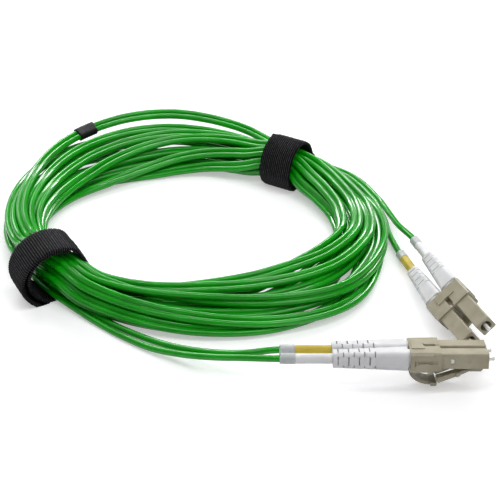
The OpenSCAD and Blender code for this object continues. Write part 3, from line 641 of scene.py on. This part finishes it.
def unitRows(rows):
    return rows / (np.linalg.norm(rows, axis=1, keepdims=True) + tiny)


def circleRings(path, radius, sides):
    tangent = unitRows(np.gradient(path, axis=0))
    across = unitRows(np.cross(tangent, [0, 0, 1]))
    up = np.cross(across, tangent)
    turn = np.arange(sides) / sides * 2 * np.pi
    spokes = (np.cos(turn)[None, :, None] * across[:, None]
              + np.sin(turn)[None, :, None] * up[:, None])
    return path[:, None] + spokes * radius


cordEnds = {"A": ("a1", "b1", 0), "B": ("a2", "b2", 1)}


def layJackets():
    s = cordSet
    for key, (front, rear, j) in cordEnds.items():
        path = wholePath(j, front, rear)
        rings = circleRings(path, s["jacket"] / 2, s["sides"])
        piece = skinRings("jacket" + key, rings, jacketFinish)
        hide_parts("zipcord_coil", "leg_" + front, "leg_" + rear)


# The web that joins the two jackets round the coil
def layWeb():
    s = cordSet
    left, right = fairPair(coilPaths, s["step"])
    over = unitRows(right - left)
    along = unitRows(np.gradient((left + right) / 2, axis=0))
    up = unitRows(np.cross(over, along)) * s["webHeight"] / 2
    inset = s["webInset"] * over
    rings = np.stack([left + inset + up, right - inset + up,
                      right - inset - up, left + inset - up], 1)
    piece = skinRings("jacketWeb", rings, jacketFinish)


layJackets()
layWeb()

# Straps: woven tape wound on the bundle and lapped over itself. Each ring's place and tilt, the
# tape, how it is wound and hangs slack, and its ribs and edges
strapLeft = {
    "name": "strapLeftTape", "node": "strap_left", "finish": strapFinish,
    "angle": -140.2, "radius": 54.6, "rise": 9.3, "yaw": -11.0, "dip": 5.0, "towards": -1,
    "width": 11.0, "thick": 1.25, "half": (8.45, 8.0), "clear": 0.15,
    "laps": 1.54, "startAt": 120.0, "slack": 0.95, "slackAt": -25.0, "ramp": 0.1,
    "skew": 0.9, "lift": 0.7,
    "ribs": "across", "ribStep": 0.78, "ribDepth": 0.26, "rag": 0.35, "seed": 3,
}
strapRight = {
    "name": "strapRightTape", "node": "strap_right", "finish": hatchedFinish,
    "angle": 48.6, "radius": 47.4, "rise": 8.0, "yaw": 10.0, "dip": 0.0, "towards": 1,
    "width": 11.4, "thick": 1.15, "half": (6.9, 6.8), "clear": 0.1,
    "laps": 1.5, "startAt": -84.0, "slack": 0.1, "slackAt": 150.0, "ramp": 0.06,
    "skew": 1.2, "lift": 0.5,
    "ribs": "along", "ribStep": 0.7, "ribDepth": 0.16, "rag": 0.08, "seed": 5,
}
# What both share: the ring reads the strands near it, every few degrees, and the tape is drawn
# with so many stations to a rib, and evenly the other way
tapeSet = {
    "near": 20, "leaning": 0.05, "farOff": 1e6, "softenings": 6, "give": 0.999, "degrees": 2,
    "perRib": 4, "plainStep": 0.5, "plainColumns": 25,
    "way": -1, "lapGap": 0.06, "slackOver": 75, "tail": 0.09, "lowest": 0.05,
    "faintRib": 0.65, "nap": 0.028, "edgeNap": 0.04, "innerNap": 0.5,
    "edgePower": 12, "thinning": 0.35, "thinPower": 8,
}


def strapAxes(s):
    turned = math.radians(s["angle"] + s["yaw"])
    outward = np.array([math.cos(turned), math.sin(turned), 0.0])
    along = np.array([math.sin(turned), -math.cos(turned), 0.0]) * s["towards"]
    sky = np.array([0, 0, 1.0])
    dip = math.radians(s["dip"])
    up = math.cos(dip) * sky + math.sin(dip) * along
    along = math.cos(dip) * along - math.sin(dip) * sky
    bearing = math.radians(s["angle"])
    centre = np.array(
        [s["radius"] * math.cos(bearing), s["radius"] * math.sin(bearing), s["rise"]])
    return centre, outward, up, along


# Radius of the tape's inside at each direction: its own loose ring, or the strands that it holds
def innerRadius(s, directions):
    t = tapeSet
    centre, outward, up, along = strapAxes(s)
    local = np.vstack(coilPaths) - centre
    near = local[np.abs(local @ along) < s["width"] / 2]
    near = near[np.hypot(near @ outward, near @ up) < t["near"]]
    spot = np.stack([near @ outward, near @ up], 1)
    spokes = np.stack([np.cos(directions), np.sin(directions)], 1)
    support = (spokes @ spot.T).max(1) + cordSet["jacket"] / 2 + s["clear"]
    leaning = spokes @ spokes.T
    reach = np.where(leaning > t["leaning"],
                     support[None, :] / np.maximum(leaning, t["leaning"]), t["farOff"]).min(1)
    wide, high = s["half"]
    ring = wide * high / np.sqrt((high * spokes[:, 0]) ** 2 + (wide * spokes[:, 1]) ** 2)
    reach = np.maximum(reach, ring)
    for _ in range(t["softenings"]):
        soft = (np.roll(reach, 1) + np.roll(reach, -1) + 2 * reach) / 4
        reach = np.maximum(reach * t["give"], soft)
    return reach


# The tape's middle line: its second lap climbs over the first end and hangs slack on one side
def tapeLine(s, directions, table, count):
    t = tapeSet
    part = np.linspace(0, s["laps"], count)
    bearing = np.radians(s["startAt"]) + t["way"] * 2 * math.pi * part
    lookup = np.degrees(bearing) % 360
    inside = np.interp(lookup, np.append(np.degrees(directions), 360), np.append(table, table[0]))
    lap = np.floor(part)
    climb = easeBetween(np.clip((part - lap - (1 - s["ramp"])) / s["ramp"], 0, 1)) + lap
    away = (lookup - s["slackAt"] + 180) % 360 - 180
    slack = s["slack"] * np.exp(-(away / t["slackOver"]) ** 2)
    radius = (inside + s["thick"] / 2 + climb * (s["thick"] + t["lapGap"])
              + np.minimum(climb, 1) * slack)
    tail = np.clip((part - s["laps"] + t["tail"]) / t["tail"], 0, 1)
    radius += s["lift"] * tail ** 2
    return part, np.stack([radius * np.cos(bearing), radius * np.sin(bearing)], 1)


# The tape's own coordinates, in millimetres along and across it
def mapTape(piece, alongAt, acrossAt):
    onTape = np.stack([np.repeat(alongAt, len(acrossAt)), np.tile(acrossAt, len(alongAt))], 1)
    corners = np.zeros(len(piece.data.loops), int)
    piece.data.loops.foreach_get("vertex_index", corners)
    layer = piece.data.uv_layers.new(name="alongTape")
    layer.data.foreach_set("uv", onTape[corners].ravel())


def windStrap(s):
    t = tapeSet
    rng = np.random.default_rng(s["seed"])
    centre, outward, up, along = strapAxes(s)
    directions = np.radians(np.arange(0, 360, t["degrees"]))
    table = innerRadius(s, directions)
    girth = 2 * math.pi * table.mean() * s["laps"]
    across = s["ribs"] == "across"
    fine = s["ribStep"] / t["perRib"]
    count = int(girth / (fine if across else t["plainStep"]))
    columns = t["plainColumns"] if across else int(s["width"] / fine)
    part, middle = tapeLine(s, directions, table, count)
    tangent = unitRows(np.gradient(middle, axis=0))
    normal = np.stack([tangent[:, 1], -tangent[:, 0]], 1) * t["way"]
    run = lengthsAlong(middle)

    # every other rib is faint, the nap roughens both faces, and the edges are ragged
    ribAt = run[:, None] if across else np.linspace(0, s["width"], columns)[None, :]
    wave = np.abs(((ribAt / s["ribStep"]) % 1) * 2 - 1)
    strong = t["faintRib"] + (1 - t["faintRib"]) * (np.floor(ribAt / s["ribStep"]) % 2)
    rib = np.broadcast_to(s["ribDepth"] * (wave * strong - 0.5), (count, columns))
    nap = rng.normal(0, t["nap"], (count, columns))
    tooth = s["rag"] * (wave[:, 0] if across else rng.uniform(0, 1, count))
    tooth = tooth + rng.normal(0, t["edgeNap"], count)
    lay = np.linspace(-0.5, 0.5, columns)
    edge = np.sign(lay) * (np.abs(lay) * 2) ** t["edgePower"]
    skew = s["skew"] * (part / s["laps"] - 0.5)
    place = lay[None, :] * s["width"] + skew[:, None] + edge[None, :] * tooth[:, None]
    rounded = s["thick"] / 2 * (1 - t["thinning"] * (np.abs(lay) * 2) ** t["thinPower"])

    def surface(offset):
        flat = middle[:, None, :] + normal[:, None, :] * offset[:, :, None]
        return centre + flat[..., :1] * outward + flat[..., 1:] * up + place[..., None] * along

    outer = surface(rounded[None, :] + rib + nap)
    inner = surface(-rounded[None, :] + nap * t["innerNap"])
    rings = np.concatenate([outer, inner[:, ::-1]], axis=1)
    rings[..., 2] = np.maximum(rings[..., 2], t["lowest"])
    piece = skinRings(s["name"], rings, s["finish"])
    mapTape(piece, run, np.concatenate([lay, lay[::-1]]) * s["width"])
    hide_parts(s["node"])
    print(s["name"], round(float(run[-1]), 1), "mm of tape")


windStrap(strapLeft)
windStrap(strapRight)

# Heat-shrink marker on the loose turn, drawn tight over both jackets, with a slight waist
markerSet = {
    "behind": 126.0, "length": 7.5, "gap": 0.06, "wall": 0.5, "stations": 15, "sides": 28,
    "reach": 6, "step": 0.3, "waist": 0.1, "waistOver": 0.35, "shoulder": 3,
}


def shrinkMarker():
    s = markerSet
    turn = np.arange(len(coilPaths[0])) / cordSet["stations"]
    behind = cordSet["start"] - 360 * turn + 360 * math.ceil(cordSet["turns"])
    middle = int(np.argmin(np.abs(behind - s["behind"])))
    nearby = slice(middle - s["reach"], middle + s["reach"] + 1)
    left, right = fairPair([p[nearby] for p in coilPaths], s["step"])
    centre = (left + right) / 2
    run = lengthsAlong(centre)
    want = run[-1] / 2 + np.linspace(-0.5, 0.5, s["stations"]) * s["length"]
    centre, left, right = [np.stack([np.interp(want, run, c[:, k]) for k in range(3)], 1)
                           for c in (centre, left, right)]
    over = unitRows(right - left)
    along = unitRows(np.gradient(centre, axis=0))
    up = unitRows(np.cross(over, along))
    around = np.arange(s["sides"]) / s["sides"] * 2 * np.pi
    lobe, half = cordSet["jacket"] / 2, cordSet["pitch"] / 2
    waist = 1 - s["waist"] * np.exp(-(np.cos(around) / s["waistOver"]) ** 2)

    def ring(out):
        level = np.sign(np.cos(around)) * np.minimum(1, np.abs(np.cos(around)) * s["shoulder"])
        x = half * level + (lobe + out) * np.cos(around)
        y = (lobe + out) * np.sin(around) * waist
        return (centre[:, None] + x[None, :, None] * over[:, None]
                + y[None, :, None] * up[:, None])

    outside, inside = ring(s["gap"] + s["wall"]), ring(s["gap"])
    rings = np.concatenate([outside, inside[::-1]], axis=0)
    piece = skinRings("markerShrink", rings, markerFinish, looped=True)
    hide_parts("marker_sleeve")


shrinkMarker()
print("straps and marker on")


# Each spring gets its own copy of its mesh, with doubled vertices merged, in place of the part
def fitSprings():
    for plug, (near, far) in legSeats.items():
        axis = mathutils.Vector(far) - mathutils.Vector(near)
        axis.normalize()
        mesh = frame["nodes"]["spring_" + plug].data.copy()
        bm = bmesh.new()
        bm.from_mesh(mesh)
        bmesh.ops.remove_doubles(bm, verts=bm.verts, dist=0.01 * mm)
        bm.to_mesh(mesh)
        bm.free()
        piece = addPiece("springCoil" + plug.upper(), mesh)
        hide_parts("spring_" + plug)
        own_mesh(piece)


fitSprings()
print("springs fitted")

# Softboxes and narrow lamps (place, width, height, power) over a dim sky, and a white table that
# keeps a soft shadow; the sky dims from low to high, and the table glows more with distance
stageSet = {
    "low": 0.24, "high": 0.2, "lowTo": 0.5, "highFrom": 0.85,
    "size": 6, "table": "#E4E4E6", "tableGlow": 0.41, "glowFrom": 0.16, "glowTo": 0.9,
    "lamps": {
        "keyBox": ((-0.34, 0.3, 0.62), 0.5, 0.5, 1.3),
        "fillBox": ((0.42, -0.28, 0.6), 0.5, 0.5, 1.35),
        "leftBox": ((-0.3, 0.62, 0.27), 0.3, 0.05, 0.3),
        "rightBox": ((0.34, 0.6, 0.27), 0.3, 0.05, 0.35),
        "backBox": ((0.05, 0.6, 0.46), 0.9, 0.06, 4.2),
        "topStrip": ((0.05, -0.15, 0.75), 0.7, 0.05, 1.75),
    },
}


# 1 for what the camera sees itself or in gloss or glass, 0 for light on the object
def seenDirectly(tree):
    path = addNode(tree, "ShaderNodeLightPath").outputs
    gloss = addNode(tree, "ShaderNodeMath", {"operation": "MAXIMUM"},
                    {0: path["Is Camera Ray"], 1: path["Is Glossy Ray"]})
    glass = addNode(tree, "ShaderNodeMath", {"operation": "MAXIMUM"},
                    {0: gloss.outputs["Value"], 1: path["Is Transmission Ray"]})
    return glass.outputs["Value"]


def addTable():
    s = stageSet
    deselectAll()
    bpy.ops.mesh.primitive_plane_add(size=s["size"], location=(0, 0, 0))
    floor = bpy.context.object
    floor.name = "floor"
    material, tree, shader, place = newMaterial("paperSweep", {
        "Base Color": srgb(s["table"]), "Roughness": 0.9, "Specular IOR Level": 0.0,
        "Emission Color": (1, 1, 1, 1)})
    away = addNode(tree, "ShaderNodeVectorMath", {"operation": "LENGTH"}, {"Vector": place})
    level = addNode(tree, "ShaderNodeMapRange",
                    {"From Min": s["glowFrom"], "From Max": s["glowTo"],
                     "To Min": s["tableGlow"], "To Max": 1.0}, {"Value": away.outputs["Value"]})
    glow = addNode(tree, "ShaderNodeMath", {"operation": "MULTIPLY"},
                   {0: seenDirectly(tree), 1: level.outputs["Result"]})
    joinInputs(tree, shader, {"Emission Strength": glow.outputs["Value"]})
    floor.data.materials.append(material)


def addSky():
    s = stageSet
    world = bpy.data.worlds.new("lightTent")
    bpy.context.scene.world = world
    world.use_nodes = True
    tree = world.node_tree
    back = tree.nodes["Background"]
    back.inputs["Color"].default_value = (1, 1, 1, 1)
    direction = addNode(tree, "ShaderNodeTexCoord").outputs["Generated"]
    height = addNode(tree, "ShaderNodeSeparateXYZ", links={"Vector": direction}).outputs["Z"]
    fall = addNode(tree, "ShaderNodeMapRange",
                   {"interpolation_type": "SMOOTHSTEP", "From Min": s["lowTo"],
                    "From Max": s["highFrom"], "To Min": s["low"], "To Max": s["high"]},
                   {"Value": height})
    camera = addNode(tree, "ShaderNodeLightPath").outputs["Is Camera Ray"]
    level = addNode(tree, "ShaderNodeMix", {"data_type": "FLOAT", "B": 1.0},
                    {"Factor": camera, "A": fall.outputs["Result"]})
    joinInputs(tree, back, {"Strength": level.outputs["Result"]})


def addLamps():
    for name, (place, wide, high, power) in stageSet["lamps"].items():
        deselectAll()
        aim = mathutils.Vector(place).to_track_quat("Z", "Y").to_euler()
        bpy.ops.object.light_add(type="AREA", location=place, rotation=aim)
        lamp = bpy.context.object
        lamp.name = name
        lamp.data.shape = "RECTANGLE"
        lamp.data.size = wide
        lamp.data.size_y = high
        lamp.data.energy = power


addTable()
addSky()
addLamps()
bpy.context.scene.view_settings.view_transform = "Standard"
print("stage set")
